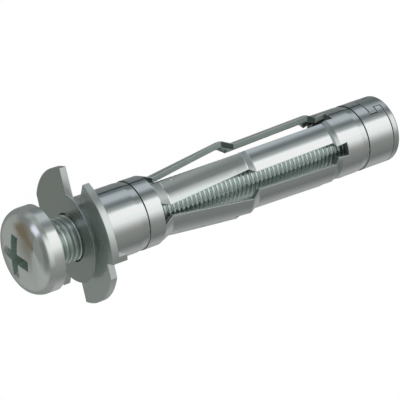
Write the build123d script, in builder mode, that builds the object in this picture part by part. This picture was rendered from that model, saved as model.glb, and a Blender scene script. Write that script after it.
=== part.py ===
from build123d import *
import os
from math import acos, asin, atan, cos, degrees, radians, sin, sqrt

os.makedirs("parts", exist_ok=True)

# Metal hollow wall anchor, lying on its side on its front flange plate and its tail.
# +X runs along the screw from the head to the tail and +Z is up. The origin is on the screw's axis, in the
# plane where the flange meets the wall board. Lengths are in millimetres, angles in degrees.

# Screw: an M8 machine screw with a pan head and a cross recess
shank_diameter = 7.8
head_diameter = 14.4
head_height = 5.2
head_edge_radius = 3.0
crown_radius = 25.0
tip_chamfer = 0.8
tip_inset = 0.8
recess_span = 7.9
recess_floor_span = 4.2
recess_wing_width = 1.8
recess_floor_width = 1.3
recess_depth = 3.2
recess_turn = 20.0

# Flange: two stamped plates with equal horns, one turned half round against the other
plate_thickness = 1.25
plate_hole_clearance = 0.2
disc_ledge = 1.72
disc_bevel = 1.25
lobe_height = 4.1
wing_step = 0.6
arc_centre_x = 0.5
arc_centre_y = -1.1
lobe_start_angle = 53.0
flank_distance = 3.93
wing_top = 8.3
wing_bottom = 1.95
prong_thickness = 1.1
prong_length = 1.5
setting_gap = 5.05

# Nut: a round nut held behind the rear groove, with a rim behind the sleeve and a T-shaped lug in its seam
thread_clearance = 0.05
nut_wall = 0.88
nut_setback = 0.2
nut_mouth_chamfer = 0.5
rim_thickness = 1.3
rim_edge_radius = 0.45
lug_head_length = 1.5
lug_neck_length = 1.4
lug_head_angle = 28.0
lug_neck_angle = 15.3
lug_gap = 0.12

# Sleeve: sheet steel, slotted flat, rolled to a tube and bowed
sheet_thickness = 1.05
nut_clearance = 0.1
leg_clearance = 0.2
seam_gap = 0.12
front_collar_length = 12.1
shoulder_length = 2.1
front_leg_length = 15.1
fold_length = 1.8
rear_leg_length = 16.1
neck_front_length = 0.95
neck_rear_length = 0.75
rear_collar_length = 11.5
fold_height = 0.92
rear_leg_rise = 0.44
neck_depth = 0.13

# Rolled grooves: a shallow lead-in that ends in a steep step
groove_depth = 0.15
groove_lead = 1.3
groove_step = 0.15
front_groove_at = 9.05
rear_groove_at = 6.0

# Slots between the legs, as half widths
leg_count = 5
slot_turn = 1.5
seam_slot = 4
slot_mouth = 1.8
slot_neck_front = 0.88
slot_fold = 2.55
slot_rear_start = 1.49
slot_rear_end = 1.86
slot_neck_rear = 0.94
window_end = 1.13
window_length = 1.4

# Radii, worked out from the screw outwards
shank_radius = shank_diameter / 2
head_radius = head_diameter / 2
bore_radius = shank_radius + thread_clearance
nut_radius = bore_radius + nut_wall
collar_inside = nut_radius + nut_clearance
collar_radius = collar_inside + sheet_thickness
waist_radius = shank_radius + leg_clearance + sheet_thickness
fold_radius = collar_radius + fold_height
rear_leg_radius = collar_radius + rear_leg_rise
neck_radius = collar_radius - neck_depth
disc_radius = collar_radius + disc_ledge
lobe_radius = disc_radius + lobe_height
wing_radius = lobe_radius - wing_step

# Stations along the axis, worked out from the wall board's face
flange_front = -2 * plate_thickness
head_seat = flange_front - setting_gap
head_top = head_seat - head_height
waist_at = front_collar_length + shoulder_length
fold_at = waist_at + front_leg_length
rear_leg_at = fold_at + fold_length
rear_leg_end = rear_leg_at + rear_leg_length
neck_at = rear_leg_end + neck_front_length
rear_collar_at = neck_at + neck_rear_length
window_at = rear_collar_at + window_length
rear_groove_station = rear_collar_at + rear_groove_at
sleeve_end = rear_collar_at + rear_collar_length
lug_neck_at = sleeve_end - lug_neck_length
lug_head_at = lug_neck_at - lug_head_length
rim_at = sleeve_end + lug_gap
nut_end = rim_at + rim_thickness
nut_front = rear_groove_station + groove_step + nut_setback
screw_tip = nut_end - tip_inset

# The anchor is turned about its axis so that it lies on the corner of the front plate's lobe and on its wing.
# Turns run from +Z towards -Y, and the seam lies in the middle of one slot.
lie_turn = degrees(asin((flank_distance - arc_centre_x) / lobe_radius) + acos(wing_radius / lobe_radius))
first_slot_turn = slot_turn - lie_turn
seam_turn = first_slot_turn + seam_slot * 360 / leg_count
gap_turn = degrees(lug_gap / collar_radius)


# The plane through the axis whose y direction points outwards at the given turn
def half_plane(turn):
    return Plane(origin=(0, 0, 0), x_dir=(1, 0, 0), z_dir=(0, -cos(radians(turn)), -sin(radians(turn))))


# The plane through the axis that faces outwards at the given turn
def facing_plane(turn):
    return Plane(origin=(0, 0, 0), x_dir=(1, 0, 0), z_dir=(0, -sin(radians(turn)), cos(radians(turn))))


# Screw
crown_centre = head_top + crown_radius
crown_rim_at = crown_centre - sqrt(crown_radius**2 - head_radius**2)

with BuildPart() as screw:
    with BuildSketch(Plane.XY) as screw_profile:
        with BuildLine():
            Polyline(
                (head_top, 0),
                (screw_tip, 0),
                (screw_tip, shank_radius - tip_chamfer),
                (screw_tip - tip_chamfer, shank_radius),
                (head_seat, shank_radius),
                (head_seat, head_radius),
                (crown_rim_at, head_radius),
            )
            RadiusArc((head_top, 0), (crown_rim_at, head_radius), crown_radius)
        make_face()
        fillet(screw_profile.vertices().sort_by_distance((crown_rim_at, head_radius))[0], head_edge_radius)
    revolve(axis=Axis.X)
    for depth, span, width in (
        (0, recess_span, recess_wing_width),
        (recess_depth, recess_floor_span, recess_floor_width),
    ):
        with BuildSketch(Plane.YZ.offset(head_top + depth)):
            Rectangle(span, width, rotation=recess_turn - lie_turn)
            Rectangle(width, span, rotation=recess_turn - lie_turn)
    loft(ruled=True, mode=Mode.SUBTRACT)
screw.part.label = "screw"


# One flange plate: a round body with a lobe and a wing, and a prong bent back from the edge between them
def flange_plate(back_station, wing_side, body_radius, bevel, label):
    wing_direction = (0, wing_side * cos(radians(lie_turn)), -wing_side * sin(radians(lie_turn)))
    back = Plane(origin=(back_station, 0, 0), x_dir=wing_direction, z_dir=(-1, 0, 0))
    far = 2 * disc_radius
    lobe_start = radians(lobe_start_angle)
    with BuildPart() as plate:
        with BuildSketch(back):
            with BuildLine():
                Polyline(
                    (arc_centre_x, arc_centre_y),
                    (arc_centre_x - far * sin(lobe_start), arc_centre_y + far * cos(lobe_start)),
                    (arc_centre_x, far),
                    (flank_distance, far),
                    (flank_distance, arc_centre_y),
                    close=True,
                )
            make_face()
            with Locations((arc_centre_x, arc_centre_y)):
                Circle(lobe_radius, mode=Mode.INTERSECT)
        extrude(amount=plate_thickness)
        with BuildSketch(back):
            with Locations((0, -wing_bottom)):
                Rectangle(far, wing_bottom + wing_top, align=(Align.MIN, Align.MIN))
            with Locations((arc_centre_x, arc_centre_y)):
                Circle(wing_radius, mode=Mode.INTERSECT)
        extrude(amount=plate_thickness)
        with BuildSketch(back):
            Circle(body_radius - bevel)
        extrude(amount=plate_thickness, taper=-degrees(atan(bevel / plate_thickness)))
        with BuildSketch(back):
            with Locations((flank_distance, wing_top)):
                Rectangle(prong_thickness, far, align=(Align.MAX, Align.MIN))
            with Locations((arc_centre_x, arc_centre_y)):
                Circle(lobe_radius, mode=Mode.INTERSECT)
        extrude(amount=-prong_length)
        with BuildSketch(back):
            Circle(shank_radius + plate_hole_clearance)
        extrude(amount=plate_thickness, mode=Mode.SUBTRACT)
    plate.part.label = label
    return plate.part


rear_flange_plate = flange_plate(0, -1, collar_radius, 0, "rear_flange_plate")
front_flange_plate = flange_plate(-plate_thickness, 1, disc_radius, disc_bevel, "front_flange_plate")


# Sleeve
def groove(station):
    return (
        (station - groove_lead, collar_radius),
        (station, collar_radius - groove_depth),
        (station + groove_step, collar_radius),
    )


outside = (
    (0, collar_radius),
    *groove(front_groove_at),
    (front_collar_length, collar_radius),
    (waist_at, waist_radius),
    (fold_at, fold_radius),
    (rear_leg_at, collar_radius),
    (rear_leg_end, rear_leg_radius),
    (neck_at, neck_radius),
    (rear_collar_at, collar_radius),
    *groove(rear_groove_station),
    (sleeve_end, collar_radius),
)
inside = (
    (0, collar_inside),
    (front_collar_length, collar_inside),
    (waist_at, waist_radius - sheet_thickness),
    (fold_at, fold_radius - sheet_thickness),
    (rear_leg_at, collar_inside),
    (rear_leg_end, rear_leg_radius - sheet_thickness),
    (neck_at, neck_radius - sheet_thickness),
    (rear_collar_at, collar_inside),
    (sleeve_end, collar_inside),
)
slot_edge = (
    (front_collar_length, slot_mouth),
    (waist_at, slot_neck_front),
    (fold_at, slot_fold),
    (rear_leg_at, slot_rear_start),
    (rear_leg_end, slot_rear_end),
    (neck_at, slot_neck_rear),
    (window_at, window_end),
)
other_edge = tuple((station, -half_width) for station, half_width in reversed(slot_edge))

with BuildPart() as sleeve:
    with BuildSketch(Plane.XY):
        with BuildLine():
            Polyline(*outside, *reversed(inside), close=True)
        make_face()
    revolve(axis=Axis.X)
    for slot in range(leg_count):
        with BuildSketch(facing_plane(first_slot_turn + slot * 360 / leg_count)):
            with BuildLine():
                Polyline(*slot_edge, *other_edge, close=True)
            make_face()
        extrude(amount=2 * fold_radius, mode=Mode.SUBTRACT)
    with BuildSketch(facing_plane(seam_turn)):
        Rectangle(sleeve_end, seam_gap, align=(Align.MIN, Align.CENTER))
    extrude(amount=2 * fold_radius, mode=Mode.SUBTRACT)
    for start, end, half_angle in (
        (lug_head_at - lug_gap, lug_neck_at + lug_gap, lug_head_angle + gap_turn),
        (lug_neck_at, sleeve_end, lug_neck_angle + gap_turn),
    ):
        with BuildSketch(half_plane(seam_turn - half_angle)):
            with Locations((start, collar_inside / 2)):
                Rectangle(end - start, collar_radius, align=(Align.MIN, Align.MIN))
        revolve(axis=Axis.X, revolution_arc=2 * half_angle, mode=Mode.SUBTRACT)
sleeve.part.label = "sleeve"

# Nut
with BuildPart() as nut:
    with BuildSketch(Plane.XY) as nut_profile:
        with BuildLine():
            Polyline(
                (nut_front, bore_radius + nut_mouth_chamfer),
                (nut_front, nut_radius),
                (rim_at, nut_radius),
                (rim_at, collar_radius),
                (nut_end, collar_radius),
                (nut_end, bore_radius + nut_mouth_chamfer),
                (nut_end - nut_mouth_chamfer, bore_radius),
                (nut_front + nut_mouth_chamfer, bore_radius),
                close=True,
            )
        make_face()
        fillet(nut_profile.vertices().sort_by_distance((nut_end, collar_radius))[0], rim_edge_radius)
    revolve(axis=Axis.X)
    for start, end, half_angle in (
        (lug_head_at, lug_neck_at, lug_head_angle),
        (lug_neck_at, rim_at, lug_neck_angle),
    ):
        with BuildSketch(half_plane(seam_turn - half_angle)):
            with Locations((start, bore_radius)):
                Rectangle(end - start, collar_radius - bore_radius, align=(Align.MIN, Align.MIN))
        revolve(axis=Axis.X, revolution_arc=2 * half_angle)
nut.part.label = "nut"

export_step(screw.part, "parts/screw.step")
export_step(front_flange_plate, "parts/front_flange_plate.step")
export_step(rear_flange_plate, "parts/rear_flange_plate.step")
export_step(sleeve.part, "parts/sleeve.step")
export_step(nut.part, "parts/nut.step")
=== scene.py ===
# Metal hollow wall anchor in bright zinc plate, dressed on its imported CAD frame.
# Lengths are in millimetres where a name says so, and are turned to metres with MM. Colours are sRGB hex.
import math

import bmesh
import bpy
from mathutils import Euler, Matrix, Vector


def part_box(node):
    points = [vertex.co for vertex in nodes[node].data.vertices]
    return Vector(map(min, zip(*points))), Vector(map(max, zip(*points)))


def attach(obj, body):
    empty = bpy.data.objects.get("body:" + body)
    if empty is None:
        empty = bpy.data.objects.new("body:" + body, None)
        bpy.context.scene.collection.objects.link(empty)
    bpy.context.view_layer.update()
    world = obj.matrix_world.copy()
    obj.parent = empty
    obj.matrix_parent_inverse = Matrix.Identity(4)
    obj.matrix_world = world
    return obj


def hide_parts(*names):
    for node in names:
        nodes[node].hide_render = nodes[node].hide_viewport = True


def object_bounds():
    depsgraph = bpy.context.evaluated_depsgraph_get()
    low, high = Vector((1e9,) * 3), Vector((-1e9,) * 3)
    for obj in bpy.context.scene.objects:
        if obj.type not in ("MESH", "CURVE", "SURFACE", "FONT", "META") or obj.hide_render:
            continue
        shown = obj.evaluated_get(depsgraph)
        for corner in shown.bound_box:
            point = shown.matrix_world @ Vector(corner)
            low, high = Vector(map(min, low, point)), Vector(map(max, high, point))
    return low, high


MM = 0.001
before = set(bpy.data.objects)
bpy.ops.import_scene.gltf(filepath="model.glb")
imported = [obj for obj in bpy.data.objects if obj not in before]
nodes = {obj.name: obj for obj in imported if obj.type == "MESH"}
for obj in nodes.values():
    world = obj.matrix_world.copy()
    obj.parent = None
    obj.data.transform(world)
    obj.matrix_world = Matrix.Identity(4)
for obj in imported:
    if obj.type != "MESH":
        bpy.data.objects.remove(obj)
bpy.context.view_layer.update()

# Reading the CAD meshes: corners this close are one, and facets that turn by less than this are one flat face
SAME_CORNER_MM = 0.0005
FLAT_ANGLE = math.radians(0.2)
# A face runs round the axis if it is off the axis, leans away from it at all, and leans nearly straight out or in
OFF_AXIS_MM = 0.05
LEAST_LEAN = 0.02
STRAIGHT_OUT = 0.993
# A corner nearer the axis than this has no direction outwards
NO_REACH_MM = 0.001

# Rounding of the bends in the sheet, from BEND_ANGLE on, and of the cut edges, from EDGE_ANGLE on
EDGE_ROUND_MM = 0.09
TURNED_EDGE_ROUND_MM = 0.07
BEND_ROUND_MM = 0.17
EDGE_SEGMENTS = 2
BEND_SEGMENTS = 3
EDGE_ANGLE = math.radians(50)
BEND_ANGLE = math.radians(15)
SHORTEST_BEND_FACE_MM = 0.5

# Thread: fine and rolled, with its pitch as the photograph draws it, broad crests and narrow roots
THREAD_PITCH_MM = 0.89
THREAD_DEPTH_MM = 0.32
THREAD_SINK_MM = 0.06
THREAD_FLANK_SHARE = 0.56
THREAD_STEPS_PER_TURN = 40
THREAD_PROFILE_POINTS = 17
THREAD_RUNOUT_TURNS = 0.6
THREAD_LEAST_SCALE = 0.02
# How far behind the head the thread starts, how far before the screw's end it stops, and how long the tip is
THREAD_FROM_HEAD_MM = 0.3
THREAD_FROM_END_MM = 1.0
TIP_LENGTH_MM = 0.9

# The head: its shank starts at least this far behind the crown, and the recess lies within this depth and radius
HEAD_LEAST_LENGTH_MM = 5
RECESS_DEPTH_MM = 3.3
RECESS_RADIUS_MM = 4.05
# On the screw, radii this close are the same, and a place may miss its station or its radius by the slack
SAME_RADIUS_MM = 0.002
SLACK_MM = 0.01

# Radii at which one finish starts to give way to another, and at which it has gone: from the dark root, painted
# shade, to the bright flank on the thread, and from crown to side on the head
THREAD_ROOT_MM, THREAD_FLANK_MM = 3.59, 3.7
CROWN_MM, HEAD_SIDE_MM = 6.5, 7.1

# The photograph's frame and camera
IMAGE_SIDE_PX = 400
SENSOR_MM = 36.0
FOCAL_PX = 1800
CAMERA_AT_MM = (-127.13, 199.21, 167.49)
CAMERA_TURN_DEG = (-48.037, -33.994, 10.096)
CAMERA_CLIP_MM = (10, 20000)

# The studio is a ball-shaped tent of shaded cards round the anchor, with its radius in metres. Each list of cards
# runs round the axis, in degrees from straight up towards +Y, and its tones blend from stop to stop. From the
# tail's end of the tent to the head's, the lists follow each other as BEHIND, BESIDE, MIDWAY, HEAD_SIDE, AHEAD.
# The tent has one opening, in the BESIDE stretch, and there the white surroundings show.
TENT_RADIUS = 2.0
TENT_GAIN = 1.22
TENT_ROWS = 50
TENT_STEP_DEG = 3
OPENING_ROUND_DEG = (54, 72)
OPENING_ALONG = (0.39, 0.79)
BESIDE = (
    (-180, "#707474"), (-158, "#707474"), (-140, "#929494"), (-80, "#989999"), (-46, "#686c6a"), (4, "#80827f"),
    (16, "#989a98"), (38, "#dce0de"), (75, "#ecf0f0"), (84, "#949a98"), (99, "#606668"), (106, "#686e70"),
    (118, "#a4acb0"), (136, "#a4acb0"), (150, "#606668"), (166, "#606668"), (180, "#707474"),
)
MIDWAY = (
    (-180, "#707474"), (-60, "#7c807e"), (-36, "#6c706e"), (-12, "#707674"), (40, "#d8dedc"), (58, "#d8dedc"),
    (82, "#6c7270"), (94, "#6c7270"), (116, "#8c9290"), (130, "#7c8280"), (142, "#8c9290"), (158, "#707474"),
    (180, "#707474"),
)
HEAD_SIDE = (
    (-180, "#888b88"), (-36, "#969a98"), (-12, "#6c706c"), (12, "#5c605c"), (60, "#606462"), (78, "#7c8084"),
    (90, "#d4d8e4"), (107, "#d4d8e4"), (119, "#7c8084"), (130, "#6c7070"), (156, "#6c7070"), (180, "#888b88"),
)
AHEAD = (
    (-180, "#665e4e"), (-156, "#665e4e"), (-130, "#6c6c66"), (-112, "#8c908e"), (-36, "#949a98"), (0, "#787e7c"),
    (80, "#7a7e7c"), (156, "#665e4e"), (180, "#665e4e"),
)
BEHIND = (
    (-180, "#80888a"), (-60, "#787c78"), (20, "#909494"), (95, "#b0b6b4"), (140, "#787e7e"), (180, "#80888a"),
)
# Where each further list of cards begins to take over and where it has, along the axis as a share of the radius
CARD_ZONES = ((MIDWAY, 0.4, 0.36), (HEAD_SIDE, 0.0, -0.28), (AHEAD, -0.5, -0.74), (BEHIND, 0.74, 0.88))

# The floor sheet: how much of it is pale card, with the rest clear, how brightly that glows, and its half width
FLOOR_SHARE = 0.07
FLOOR_GLOW = 0.75
FLOOR_REACH = 2.0


def linear(hex_colour):
    parts = [int(hex_colour[i:i + 2], 16) / 255 for i in (1, 3, 5)]
    return [c / 12.92 if c <= 0.04045 else ((c + 0.055) / 1.055) ** 2.4 for c in parts] + [1.0]


def add_node(tree, kind, settings=(), inputs=(), links=()):
    """Adds a node, sets its properties and sockets, and links (source node, output, own input)."""
    node = tree.nodes.new(kind)
    for name, value in dict(settings).items():
        setattr(node, name, value)
    for name, value in dict(inputs).items():
        node.inputs[name].default_value = value
    for source, output, own_input in links:
        tree.links.new(source.outputs[output], node.inputs[own_input])
    return node


# Materials, whose roughness varies by this much to either side
SHEEN_SPREAD = 0.03


def zinc_plated_steel(name, bright, dull, roughness, cloud_mm, metallic=1.0, inner=None):
    """Bright zinc plate on steel: a cool grey mirror, softened by large, faint clouds in its tone and sheen.
    inner is (tone, metallic, radius, radius): a second finish that holds round the screw's axis up to the first
    radius and has gone at the second."""
    material = bpy.data.materials.new(name)
    material.use_nodes = True
    tree = material.node_tree
    tree.nodes.clear()
    place = add_node(tree, "ShaderNodeTexCoord")
    clouds = add_node(
        tree, "ShaderNodeTexNoise",
        inputs={"Scale": 1 / (cloud_mm * MM), "Detail": 3.0, "Roughness": 0.55},
        links=[(place, "Object", "Vector")],
    )
    tone = add_node(
        tree, "ShaderNodeMix", settings={"data_type": "RGBA"},
        inputs={6: linear(dull), 7: linear(bright)},
        links=[(clouds, "Fac", 0)],
    )
    if inner:
        inner_tone, inner_metallic, holds_to_mm, gone_at_mm = inner
        across = add_node(
            tree, "ShaderNodeVectorMath", settings={"operation": "MULTIPLY"}, inputs={1: (0, 1, 1)},
            links=[(place, "Object", 0)])
        reach = add_node(tree, "ShaderNodeVectorMath", settings={"operation": "LENGTH"}, links=[(across, 0, 0)])
        outward = add_node(
            tree, "ShaderNodeMapRange",
            inputs={"From Min": holds_to_mm * MM, "From Max": gone_at_mm * MM},
            links=[(reach, "Value", "Value")])
        tone = add_node(
            tree, "ShaderNodeMix", settings={"data_type": "RGBA"}, inputs={6: linear(inner_tone)},
            links=[(outward, "Result", 0), (tone, 2, 7)])
    sheen = add_node(
        tree, "ShaderNodeMapRange",
        inputs={
            "From Min": 0.3, "From Max": 0.7,
            "To Min": roughness - SHEEN_SPREAD, "To Max": roughness + SHEEN_SPREAD,
        },
        links=[(clouds, "Fac", "Value")],
    )
    metal = add_node(
        tree, "ShaderNodeBsdfPrincipled",
        inputs={"Metallic": metallic},
        links=[(sheen, "Result", "Roughness"), (tone, 2, "Base Color")],
    )
    if inner:
        share = add_node(
            tree, "ShaderNodeMapRange", inputs={"To Min": inner_metallic, "To Max": metallic},
            links=[(outward, "Result", "Value")])
        tree.links.new(share.outputs["Result"], metal.inputs["Metallic"])
    add_node(tree, "ShaderNodeOutputMaterial", links=[(metal, "BSDF", "Surface")])
    return material


# Strip rolled smooth before plating: long, clean streaks of light
rolled_zinc = zinc_plated_steel("zinc_plated_rolled_sheet", "#f0f1f1", "#eaecec", 0.14, 6)
# Painted shade in the root of a rolled groove, where little light gets in: a thin dark line; the collars' closed
# seams take the same tone
groove_shade_and_seam_zinc = zinc_plated_steel("zinc_plated_groove_shade_and_seam", "#545b5d", "#4d5456", 0.3, 3)
# The two slopes of the rolled neck, which show each other, painted darker as painted shade: soft grey lines beside
# its bright root
neck_shade_zinc = zinc_plated_steel("zinc_plated_rolled_neck_painted_shade", "#d8dcdc", "#ced3d3", 0.2, 3)
# The walls that shears cut through the strip: matt, with a green cast
sheared_zinc = zinc_plated_steel("zinc_plated_sheared_edge", "#f0f8f6", "#e3edeb", 0.45, 3, 0.45)
# The short ends of those cuts that face the head, in painted shade: rough and dark
head_facing_wall_shade_zinc = zinc_plated_steel("zinc_plated_sheared_edge_painted_shade", "#949d9c", "#88908f", 0.45, 3, 0.8)
# The face of the front plate, flattened in the stamping tool: an even satin grey, painted darker than the rest of
# the zinc as painted shade
stamped_face_shade_zinc = zinc_plated_steel("zinc_plated_stamped_face_painted_shade", "#b6bbb6", "#afb4b0", 0.26, 5)
# The face of the rear plate: the same satin grey, painted lighter than the front plate's as painted light where
# the front plate shades it
stamped_rear_painted_light_zinc = zinc_plated_steel("zinc_plated_stamped_rear_face_painted_light", "#d2d8d5", "#c7cdca", 0.28, 5, 0.9)
# The plates' edges and the slots' rims, which the tools rub bright
burnished_zinc = zinc_plated_steel("zinc_plated_burnished_edge", "#eef0ef", "#e2e5e3", 0.3, 3)
# The upset head of the screw: the crown nearly a mirror, so the cards show in it, and the side softer and paler
upset_zinc = zinc_plated_steel(
    "zinc_plated_upset_head", "#fdfdfc", "#f5f7f4", 0.1, 4, 0.82, inner=("#f3f4f2", 1.0, CROWN_MM, HEAD_SIDE_MM))
# The punched recess: greenish, and painted darker as painted shade, where the recess lies in shade
recess_shade_zinc = zinc_plated_steel("zinc_plated_punched_recess_painted_shade", "#dce9e4", "#cad8d2", 0.4, 2, 0.75)
# The rolled thread: bright crests over roots painted darker, as painted shade where little light gets in
threaded_zinc = zinc_plated_steel(
    "zinc_plated_rolled_thread", "#e6efeb", "#dae4e0", 0.2, 2, 0.86,
    inner=("#bcc6c3", 0.9, THREAD_ROOT_MM, THREAD_FLANK_MM))
# The turned nut, and the screw's end in it: a little duller than the sheet
nut_zinc = zinc_plated_steel("zinc_plated_turned_nut", "#e4e6e6", "#dcdfde", 0.2, 4)


# Pieces
def radius_of(vert):
    return math.hypot(vert.co.y, vert.co.z)


def merged_copy(node_name):
    """A copy of a CAD node's mesh as a bmesh, with its loose triangles joined and its flat faces whole."""
    shape = bmesh.new()
    shape.from_mesh(nodes[node_name].data)
    bmesh.ops.remove_doubles(shape, verts=shape.verts, dist=SAME_CORNER_MM * MM)
    bmesh.ops.dissolve_limit(shape, angle_limit=FLAT_ANGLE, verts=shape.verts, edges=shape.edges)
    return shape


def profile_normal(face):
    """The (axial, radial) normal of a face that runs round the anchor's axis, or None for any other face."""
    centre = face.calc_center_median()
    reach = math.hypot(centre.y, centre.z)
    across = math.hypot(face.normal.y, face.normal.z)
    if reach < OFF_AXIS_MM * MM or across < LEAST_LEAN:
        return None
    radial = (face.normal.y * centre.y + face.normal.z * centre.z) / reach
    if abs(radial) < STRAIGHT_OUT * across:
        return None
    return face.normal.x, math.copysign(across, radial)


def round_edges(shape, edges, width_mm, segments, strip):
    made = bmesh.ops.bevel(
        shape, geom=edges, offset=width_mm * MM, offset_type="OFFSET", segments=segments, profile=0.5,
        affect="EDGES", clamp_overlap=False)
    shape.normal_update()
    for face in made["faces"]:
        face[strip] = 1


def is_bend(edge):
    """An edge that runs round the axis between two long faces of the sheet that meet at a blunt angle."""
    if len(edge.link_faces) != 2 or not BEND_ANGLE < edge.calc_face_angle(0) < EDGE_ANGLE:
        return False
    if any(profile_normal(face) is None for face in edge.link_faces):
        return False
    lengths = [max(v.co.x for v in face.verts) - min(v.co.x for v in face.verts) for face in edge.link_faces]
    return min(lengths) > SHORTEST_BEND_FACE_MM * MM


def is_cut(edge, turned):
    """A sharp edge; a turned one lies between two faces that both run round the axis."""
    if len(edge.link_faces) != 2 or edge.calc_face_angle(0) <= EDGE_ANGLE:
        return False
    return all(profile_normal(face) for face in edge.link_faces) == turned


def corner_normals(shape, strip, blend_angle):
    """A normal for each face corner: true to the round faces, flat on the flat ones, and turning only in the
    rounded strips between them."""
    bare = {face: (profile_normal(face) if not face[strip] else None) for face in shape.faces}
    areas = {face: face.calc_area() for face in shape.faces}
    limit = math.cos(blend_angle)

    def main_normal(face, vert):
        total = Vector()
        own = bare[face]
        reach = radius_of(vert)
        for other in vert.link_faces:
            if other[strip] or face.normal.dot(other.normal) < limit:
                continue
            turn = bare[other]
            if own and turn and reach > NO_REACH_MM * MM:
                if own[0] * turn[0] + own[1] * turn[1] < limit:
                    continue
                total += areas[other] * Vector(
                    (turn[0], turn[1] * vert.co.y / reach, turn[1] * vert.co.z / reach))
            elif not own and not turn:
                total += areas[other] * other.normal
        return total.normalized() if total.length else face.normal

    normals = []
    for face in shape.faces:
        for vert in face.verts:
            if not face[strip]:
                normals.append(main_normal(face, vert))
                continue
            neighbours = [
                other for other in vert.link_faces if not other[strip] and other.normal.dot(face.normal) > 0]
            if neighbours:
                total = sum((main_normal(other, vert) for other in neighbours), Vector())
            else:
                total = sum((areas[other] * other.normal for other in vert.link_faces), Vector())
            normals.append(total.normalized() if total.length else face.normal)
    return normals


def new_piece(name, shape, materials, normals):
    mesh = bpy.data.meshes.new(name)
    shape.to_mesh(mesh)
    for material in materials:
        mesh.materials.append(material)
    mesh.polygons.foreach_set("use_smooth", [True] * len(mesh.polygons))
    if normals:
        mesh.normals_split_custom_set(normals)
    piece = bpy.data.objects.new(name, mesh)
    bpy.context.scene.collection.objects.link(piece)
    return piece


def rounded_piece(name, shape, materials, blend_degrees, pick_material=None):
    strip = shape.faces.layers.int.new("strip")
    shape.normal_update()
    round_edges(shape, [edge for edge in shape.edges if is_bend(edge)], BEND_ROUND_MM, BEND_SEGMENTS, strip)
    for turned, width_mm in ((False, EDGE_ROUND_MM), (True, TURNED_EDGE_ROUND_MM)):
        round_edges(shape, [edge for edge in shape.edges if is_cut(edge, turned)], width_mm, EDGE_SEGMENTS, strip)
    if pick_material:
        for face in shape.faces:
            face.material_index = pick_material(face, face[strip])
    normals = corner_normals(shape, strip, math.radians(blend_degrees))
    piece = new_piece(name, shape, materials, normals)
    shape.free()
    return piece


def dress(node_name, materials, blend_degrees, pick_material=None):
    piece = rounded_piece(node_name + "_dressed", merged_copy(node_name), materials, blend_degrees, pick_material)
    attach(piece, "anchor")
    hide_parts(node_name)
    return piece


# Stations along the sleeve, and the least radius of a groove's step: just inside the nut's
SLOTS_START, NECK_START, NECK_END, SLOTS_END = 11 * MM, 47.2 * MM, 49.2 * MM, 50.5 * MM
FRONT_END = 1 * MM
GROOVE_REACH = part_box("nut")[1].y - 0.2 * MM
# How far a face's normal leans along the axis: less than SIDEWAYS on a slot's long rim, past HEADWARD on a wall
# that faces the head, more than SLOPE on a slope of the neck. On a groove's step it leans by STEP to the head and
# by STEP outwards.
SIDEWAYS, HEADWARD, SLOPE, STEP = 0.5, -0.3, 0.05, 0.5
# A plate's face looks along the axis by more than this, and its edge by less
PLATE_FACE = 0.8
# How far a face of the screw's crown looks ahead, at least: one that runs round the axis, and a flat one
CROWN_ROUND, CROWN_FLAT = 0.5, 0.98
# The widest angle across which a piece's faces shade as one, in degrees
SHEET_BLEND, TURNED_BLEND, PLATE_BLEND = 2, 14, 12


def sleeve_finish(face, rounded):
    """0 on the rolled sheet, 1 on the walls of the slots, 2 where a wall faces the head, in painted shade, 3 on
    the grooves' steps, in painted shade, and in the closed seam of the collars, 4 on the slots' rounded edges, 5
    on the neck's slopes, in painted shade."""
    turn = profile_normal(face)
    centre = face.calc_center_median()
    if turn is None:
        if not SLOTS_START < centre.x < SLOTS_END:
            return 3
        if rounded and abs(face.normal.x) < SIDEWAYS:
            return 4
        return 2 if face.normal.x < HEADWARD else 1
    if not rounded and turn[1] > 0 and NECK_START < centre.x < NECK_END and abs(turn[0]) > SLOPE:
        return 5
    on_groove = centre.x > FRONT_END and math.hypot(centre.y, centre.z) > GROOVE_REACH
    return 3 if on_groove and turn[0] < -STEP and turn[1] > STEP else 0


def plate_finish(face, rounded):
    """0 on the stamped faces, painted darker than the edges as painted shade, 1 on the edges round them."""
    return 0 if abs(face.normal.x) > PLATE_FACE else 1


dress("sleeve", [rolled_zinc, sheared_zinc, head_facing_wall_shade_zinc, groove_shade_and_seam_zinc, burnished_zinc, neck_shade_zinc], SHEET_BLEND,
          sleeve_finish)
dress("nut", [nut_zinc], TURNED_BLEND)
dress("front_flange_plate", [stamped_face_shade_zinc, burnished_zinc], PLATE_BLEND, plate_finish)
dress("rear_flange_plate", [stamped_rear_painted_light_zinc, burnished_zinc], PLATE_BLEND, plate_finish)


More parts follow.
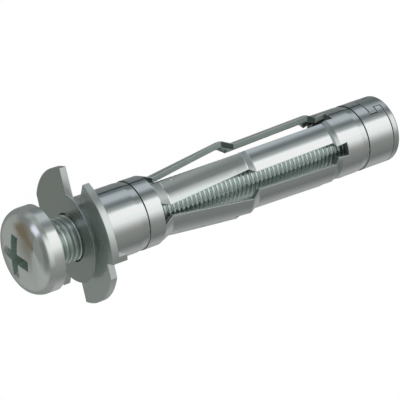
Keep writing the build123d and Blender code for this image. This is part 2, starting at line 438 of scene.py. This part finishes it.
# The screw: the head and a core from the CAD, and a thread ridge wound round the core
def thread_tree(sizes, material):
    """A rounded ridge swept along a right-hand helix round +X and faded out at both ends. Its inputs are sizes."""
    tree = bpy.data.node_groups.new("thread_ridge", "GeometryNodeTree")
    for name, value in sizes.items():
        kind = "NodeSocketInt" if isinstance(value, int) else "NodeSocketFloat"
        tree.interface.new_socket(name, in_out="INPUT", socket_type=kind)
    tree.interface.new_socket("Geometry", in_out="OUTPUT", socket_type="NodeSocketGeometry")
    given = add_node(tree, "NodeGroupInput")

    def reckon(operation, *terms):
        node = add_node(tree, "ShaderNodeMath", settings={"operation": operation})
        for index, term in enumerate(terms):
            if isinstance(term, float):
                node.inputs[index].default_value = term
            else:
                tree.links.new(term, node.inputs[index])
        return node.outputs[0]

    size = given.outputs
    # The helix: its points turn about +Z here, and the finished ridge is laid along +X at the end
    helix = add_node(tree, "GeometryNodeCurveSpiral", inputs={"Reverse": True}, links=[
        (given, "Steps per turn", "Resolution"), (given, "Turns", "Rotations"),
        (given, "Core radius", "Start Radius"), (given, "Core radius", "End Radius")])
    tree.links.new(reckon("MULTIPLY", size["Pitch"], size["Turns"]), helix.inputs["Height"])
    upright = add_node(
        tree, "GeometryNodeSetCurveNormal", settings={"mode": "Z_UP"}, links=[(helix, "Curve", "Curve")])
    along = add_node(tree, "GeometryNodeSplineParameter")
    turn = reckon("MULTIPLY", along.outputs["Factor"], size["Turns"])
    to_end = reckon("MINIMUM", turn, reckon("SUBTRACT", size["Turns"], turn))
    ramp = reckon("ADD", reckon("DIVIDE", to_end, size["Run-out turns"]), THREAD_LEAST_SCALE)
    fade = reckon("MINIMUM", ramp, 1.0)

    # The ridge's section: a broad crest between two steep flanks, with its foot sunk into the core
    row = add_node(tree, "GeometryNodeMeshLine", links=[(given, "Profile points", "Count")])
    index = add_node(tree, "GeometryNodeInputIndex")
    last_point = reckon("SUBTRACT", size["Profile points"], 1.0)
    share = reckon("SUBTRACT", reckon("DIVIDE", index.outputs[0], last_point), 0.5)
    from_foot = reckon("SUBTRACT", 1.0, reckon("MULTIPLY", reckon("ABSOLUTE", share), 2.0))
    wave = reckon("MINIMUM", reckon("DIVIDE", from_foot, THREAD_FLANK_SHARE), 1.0)
    full_height = reckon("ADD", size["Depth"], size["Sink"])
    height = reckon("SUBTRACT", reckon("MULTIPLY", wave, full_height), size["Sink"])
    point = add_node(tree, "ShaderNodeCombineXYZ")
    tree.links.new(height, point.inputs["X"])
    tree.links.new(reckon("MULTIPLY", share, size["Pitch"]), point.inputs["Y"])
    wave_line = add_node(
        tree, "GeometryNodeSetPosition", links=[(row, "Mesh", "Geometry"), (point, 0, "Position")])
    wave_curve = add_node(tree, "GeometryNodeMeshToCurve", links=[(wave_line, 0, "Mesh")])
    section = add_node(
        tree, "GeometryNodeSetSplineCyclic", inputs={"Cyclic": True}, links=[(wave_curve, 0, "Geometry")])
    ridge = add_node(tree, "GeometryNodeCurveToMesh", inputs={"Fill Caps": True},
                     links=[(upright, "Curve", "Curve"), (section, 0, "Profile Curve")])
    tree.links.new(fade, ridge.inputs["Scale"])
    laid = add_node(tree, "GeometryNodeTransform", links=[(ridge, 0, 0)])
    laid.inputs["Rotation"].default_value = Euler((0, math.pi / 2, 0))
    real = add_node(tree, "GeometryNodeRealizeInstances", links=[(laid, 0, 0)])
    coated = add_node(tree, "GeometryNodeSetMaterial", inputs={"Material": material}, links=[(real, 0, 0)])
    add_node(tree, "NodeGroupOutput", links=[(coated, 0, 0)])
    return tree


def wound_thread(start, end, crest_radius):
    """The ridge from start to end along the axis, as a plain mesh whose crests reach crest_radius."""
    sizes = {
        "Core radius": crest_radius - THREAD_DEPTH_MM * MM,
        "Depth": THREAD_DEPTH_MM * MM,
        "Sink": THREAD_SINK_MM * MM,
        "Pitch": THREAD_PITCH_MM * MM,
        "Turns": (end - start) / (THREAD_PITCH_MM * MM),
        "Run-out turns": THREAD_RUNOUT_TURNS,
        "Steps per turn": THREAD_STEPS_PER_TURN,
        "Profile points": THREAD_PROFILE_POINTS,
    }
    tree = thread_tree(sizes, threaded_zinc)
    holder = bpy.data.objects.new("thread_builder", bpy.data.meshes.new("thread_builder"))
    bpy.context.scene.collection.objects.link(holder)
    modifier = holder.modifiers.new("thread", "NODES")
    modifier.node_group = tree
    for item in tree.interface.items_tree:
        if item.in_out == "INPUT":
            modifier[item.identifier] = sizes[item.name]
    evaluated = holder.evaluated_get(bpy.context.evaluated_depsgraph_get())
    shape = bmesh.new()
    shape.from_mesh(bpy.data.meshes.new_from_object(evaluated))
    holder.modifiers.remove(modifier)
    bpy.data.objects.remove(holder)
    bmesh.ops.translate(shape, verts=shape.verts, vec=(start, 0, 0))
    bmesh.ops.recalc_face_normals(shape, faces=shape.faces)
    piece = new_piece("screw_thread", shape, [threaded_zinc], None)
    shape.free()
    return piece


def dress_screw():
    """The shank's mesh is drawn in to the thread's root, and the ridge brings it back to the CAD's radius."""
    screw_low, screw_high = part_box("screw")
    plate_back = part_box("front_flange_plate")[1].x
    shape = merged_copy("screw")
    behind_crown = [vert for vert in shape.verts if vert.co.x > screw_low.x + HEAD_LEAST_LENGTH_MM * MM]
    shank_radius = max(radius_of(vert) for vert in behind_crown if vert.co.x > plate_back)
    on_shank = [vert for vert in behind_crown if abs(radius_of(vert) - shank_radius) < SAME_RADIUS_MM * MM]
    head_seat = min(vert.co.x for vert in on_shank)
    core_radius = shank_radius - THREAD_DEPTH_MM * MM
    slack = SLACK_MM * MM
    for vert in behind_crown:
        radius = radius_of(vert)
        if vert.co.x > head_seat - slack and core_radius < radius < shank_radius + slack:
            vert.co.y *= core_radius / radius
            vert.co.z *= core_radius / radius

    def head_finish(face, rounded):
        """0 on the head, 1 in its recess, in painted shade, 2 on the core of the thread, 3 on the bare tip."""
        centre = face.calc_center_median()
        if centre.x > head_seat + slack:
            return 3 if centre.x > screw_high.x - TIP_LENGTH_MM * MM else 2
        in_recess = (centre.x < screw_low.x + RECESS_DEPTH_MM * MM
                     and math.hypot(centre.y, centre.z) < RECESS_RADIUS_MM * MM)
        on_crown = (profile_normal(face) or (0, 0))[0] < -CROWN_ROUND or face.normal.x <= -CROWN_FLAT
        return 1 if in_recess and not on_crown else 0

    head = rounded_piece("screw_head_and_core", shape, [upset_zinc, recess_shade_zinc, threaded_zinc, nut_zinc],
                         TURNED_BLEND, head_finish)
    thread = wound_thread(
        head_seat + THREAD_FROM_HEAD_MM * MM, screw_high.x - THREAD_FROM_END_MM * MM, shank_radius)
    for piece in (head, thread):
        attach(piece, "screw")
    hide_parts("screw")


dress_screw()


# The studio: a tilted floor that both resting places touch, the tent of cards, and the camera
def seen_rays(tree):
    """1 for the rays that see the surroundings as they are: the camera's, off metal or through glass."""
    rays = add_node(tree, "ShaderNodeLightPath")
    reflected = add_node(
        tree, "ShaderNodeMath", settings={"operation": "MAXIMUM"},
        links=[(rays, "Is Camera Ray", 0), (rays, "Is Glossy Ray", 1)])
    return add_node(
        tree, "ShaderNodeMath", settings={"operation": "MAXIMUM"},
        links=[(reflected, 0, 0), (rays, "Is Transmission Ray", 1)])


def pale_floor():
    """A thin clear sheet with a little pale card in it, which takes the anchor's soft shadow."""
    material = bpy.data.materials.new("pale_floor_sheet")
    material.use_nodes = True
    tree = material.node_tree
    tree.nodes.clear()
    card = add_node(tree, "ShaderNodeBsdfDiffuse", inputs={"Color": linear("#f4f4f4")})
    glow = add_node(tree, "ShaderNodeEmission", inputs={"Color": linear("#ffffff"), "Strength": FLOOR_GLOW})
    white = add_node(tree, "ShaderNodeAddShader", links=[(card, 0, 0), (glow, 0, 1)])
    lit = add_node(tree, "ShaderNodeMixShader", links=[(seen_rays(tree), 0, 0), (card, 0, 1), (white, 0, 2)])
    clear = add_node(tree, "ShaderNodeBsdfTransparent")
    sheet = add_node(tree, "ShaderNodeMixShader", inputs={0: FLOOR_SHARE}, links=[(clear, 0, 1), (lit, 0, 2)])
    add_node(tree, "ShaderNodeOutputMaterial", links=[(sheet, 0, "Surface")])
    return material


def build_floor():
    """The sheet touches the front plate's lowest line and the lowest point of the tail."""
    plate_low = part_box("front_flange_plate")[0]
    front = Vector((plate_low.x, 0, plate_low.z))
    tail = Vector((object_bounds()[1].x, 0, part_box("nut")[0].z))
    along = (tail - front).normalized() * FLOOR_REACH
    across = Vector((0, FLOOR_REACH, 0))
    middle = (front + tail) / 2
    shape = bmesh.new()
    corners = ((-1, -1), (1, -1), (1, 1), (-1, 1))
    shape.faces.new([shape.verts.new(middle + along * a + across * b) for a, b in corners])
    floor = new_piece("floor", shape, [pale_floor()], None)
    shape.free()


def card_stock():
    """Matt card, lit evenly: the metal shows it, and the camera looks past it to the white surroundings."""
    material = bpy.data.materials.new("studio_card")
    material.use_nodes = True
    tree = material.node_tree
    tree.nodes.clear()
    tone = add_node(tree, "ShaderNodeAttribute", settings={"attribute_name": "tone"})
    lit = add_node(tree, "ShaderNodeEmission", inputs={"Strength": TENT_GAIN}, links=[(tone, "Color", "Color")])
    clear = add_node(tree, "ShaderNodeBsdfTransparent")
    rays = add_node(tree, "ShaderNodeLightPath")
    mix = add_node(tree, "ShaderNodeMixShader", links=[(rays, "Is Camera Ray", 0), (lit, 0, 1), (clear, 0, 2)])
    add_node(tree, "ShaderNodeOutputMaterial", links=[(mix, 0, "Surface")])
    return material


def mixed(first, second, share):
    return [a + (b - a) * share for a, b in zip(first, second)]


def tone_of(cards, degrees):
    """The tone of a list of cards at an angle round the axis, blended between its two nearest stops."""
    for (begins, first), (ends, second) in zip(cards, cards[1:]):
        if begins <= degrees <= ends:
            return mixed(linear(first), linear(second), (degrees - begins) / (ends - begins))


def tent_tone(along, degrees):
    """The tent's tone at a place, given along the axis as a share of the radius and round it in degrees."""
    tone = tone_of(BESIDE, degrees)
    for cards, begins, ends in CARD_ZONES:
        share = min(1.0, max(0.0, (along - begins) / (ends - begins)))
        tone = mixed(tone, tone_of(cards, degrees), share * share * (3 - 2 * share))
    if abs(degrees) > 90:  # the floor sheet lies in front of these cards and adds its own white
        tone = [max(0.0, (part - FLOOR_SHARE / TENT_GAIN) / (1 - FLOOR_SHARE)) for part in tone]
    return tone[:3] + [1.0]


def build_tent():
    shape = bmesh.new()
    tone = shape.loops.layers.float_color.new("tone")
    rows = [-1 + 2 * i / TENT_ROWS for i in range(TENT_ROWS + 1)]
    for low, high in zip(rows, rows[1:]):
        for left in range(-180, 180, TENT_STEP_DEG):
            if OPENING_ROUND_DEG[0] <= left < OPENING_ROUND_DEG[1] and OPENING_ALONG[0] < low < OPENING_ALONG[1]:
                continue
            right = left + TENT_STEP_DEG
            places = [(low, left), (high, left), (high, right), (low, right)]
            if low == -1:  # a row at a pole has three-sided cards
                places = places[:3]
            elif high == 1:
                places = [places[0], places[1], places[3]]
            corners = []
            for along, degrees in places:
                across, turn = math.sqrt(max(0.0, 1 - along * along)), math.radians(degrees)
                corners.append(shape.verts.new(
                    TENT_RADIUS * Vector((along, across * math.sin(turn), across * math.cos(turn)))))
            face = shape.faces.new(corners)
            for loop, (along, degrees) in zip(face.loops, places):
                # a hair inside the card, so that it keeps to its own side of the floor
                inside = degrees + (0.001 if degrees == left else -0.001)
                loop[tone] = tent_tone(along, inside)
    tent = new_piece("studio_tent", shape, [card_stock()], None)
    shape.free()


def build_world():
    """White surroundings for the camera and the metal, and a plain level of light for the rest."""
    world = bpy.data.worlds.new("white_surroundings")
    bpy.context.scene.world = world
    world.use_nodes = True
    tree = world.node_tree
    tree.nodes.clear()
    fill = add_node(tree, "ShaderNodeBackground", inputs={"Strength": 1.0, "Color": linear("#bcbcbc")})
    white = add_node(tree, "ShaderNodeBackground", inputs={"Strength": 1.0, "Color": linear("#ffffff")})
    mix = add_node(tree, "ShaderNodeMixShader", links=[(seen_rays(tree), 0, 0), (fill, 0, 1), (white, 0, 2)])
    add_node(tree, "ShaderNodeOutputWorld", links=[(mix, 0, "Surface")])


def build_camera():
    data = bpy.data.cameras.new("camera")
    data.sensor_width = SENSOR_MM
    data.sensor_fit = "HORIZONTAL"
    data.lens = SENSOR_MM * FOCAL_PX / IMAGE_SIDE_PX
    data.clip_start, data.clip_end = (reach * MM for reach in CAMERA_CLIP_MM)
    camera = bpy.data.objects.new("camera", data)
    camera.location = Vector(CAMERA_AT_MM) * MM
    camera.rotation_euler = Euler([math.radians(a) for a in CAMERA_TURN_DEG], "XYZ")
    bpy.context.scene.collection.objects.link(camera)
    bpy.context.scene.camera = camera


build_floor()
build_tent()
build_world()
build_camera()
bpy.context.scene.view_settings.view_transform = "Standard"

bpy.context.view_layer.update()
